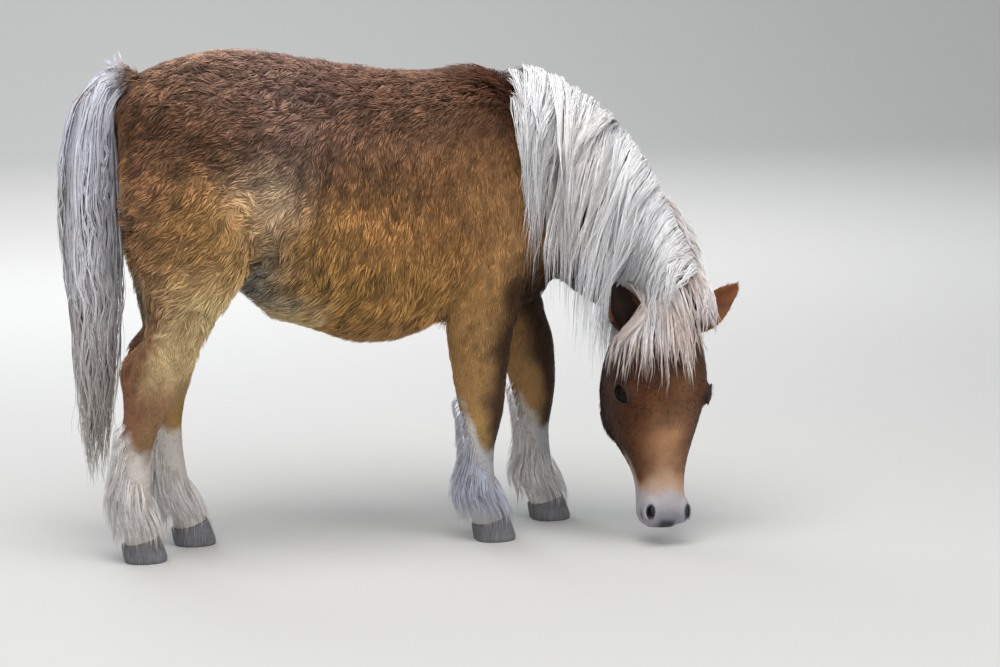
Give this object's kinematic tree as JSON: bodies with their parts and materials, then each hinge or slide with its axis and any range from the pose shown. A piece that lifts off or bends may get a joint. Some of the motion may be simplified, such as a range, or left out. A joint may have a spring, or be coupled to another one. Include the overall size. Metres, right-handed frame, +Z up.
{
  "type": "shetland pony",
  "caption": "Life-size still Shetland pony in winter coat, standing with its neck lowered and bent to its right, chestnut with flaxen mane and tail and white stockings.",
  "frame": {"origin": "on the floor under the middle of the model's box", "axes": "+X towards the front of the pony, +Y to its left, +Z up"},
  "size_m": [1.4218, 0.5064, 1.0254],
  "materials": {
    "coat_chestnut": "long soft winter fur, chestnut, darker over the back and golden on the flanks",
    "coat_face": "short sleek fur, red chestnut, with a white muzzle",
    "coat_leg": "fur, golden chestnut above and white below the knee and hock",
    "hair_flaxen": "long coarse flaxen hair",
    "ear": "short dark brown fur",
    "eye": "wet, glossy, near black",
    "horn": "dull ridged hoof horn"
  },
  "bodies": {
    "root": {"torso": "coat_chestnut", "neck": "hair_flaxen", "head": "coat_face", "tail": "hair_flaxen", "ear_right": "ear", "ear_left": "ear", "eye_right": "eye", "eye_left": "eye", "leg_front_left": "coat_leg", "hoof_front_left": "horn", "leg_front_right": "coat_leg", "hoof_front_right": "horn", "leg_hind_left": "coat_leg", "hoof_hind_left": "horn", "leg_hind_right": "coat_leg", "hoof_hind_right": "horn"}
  },
  "joints": []
}
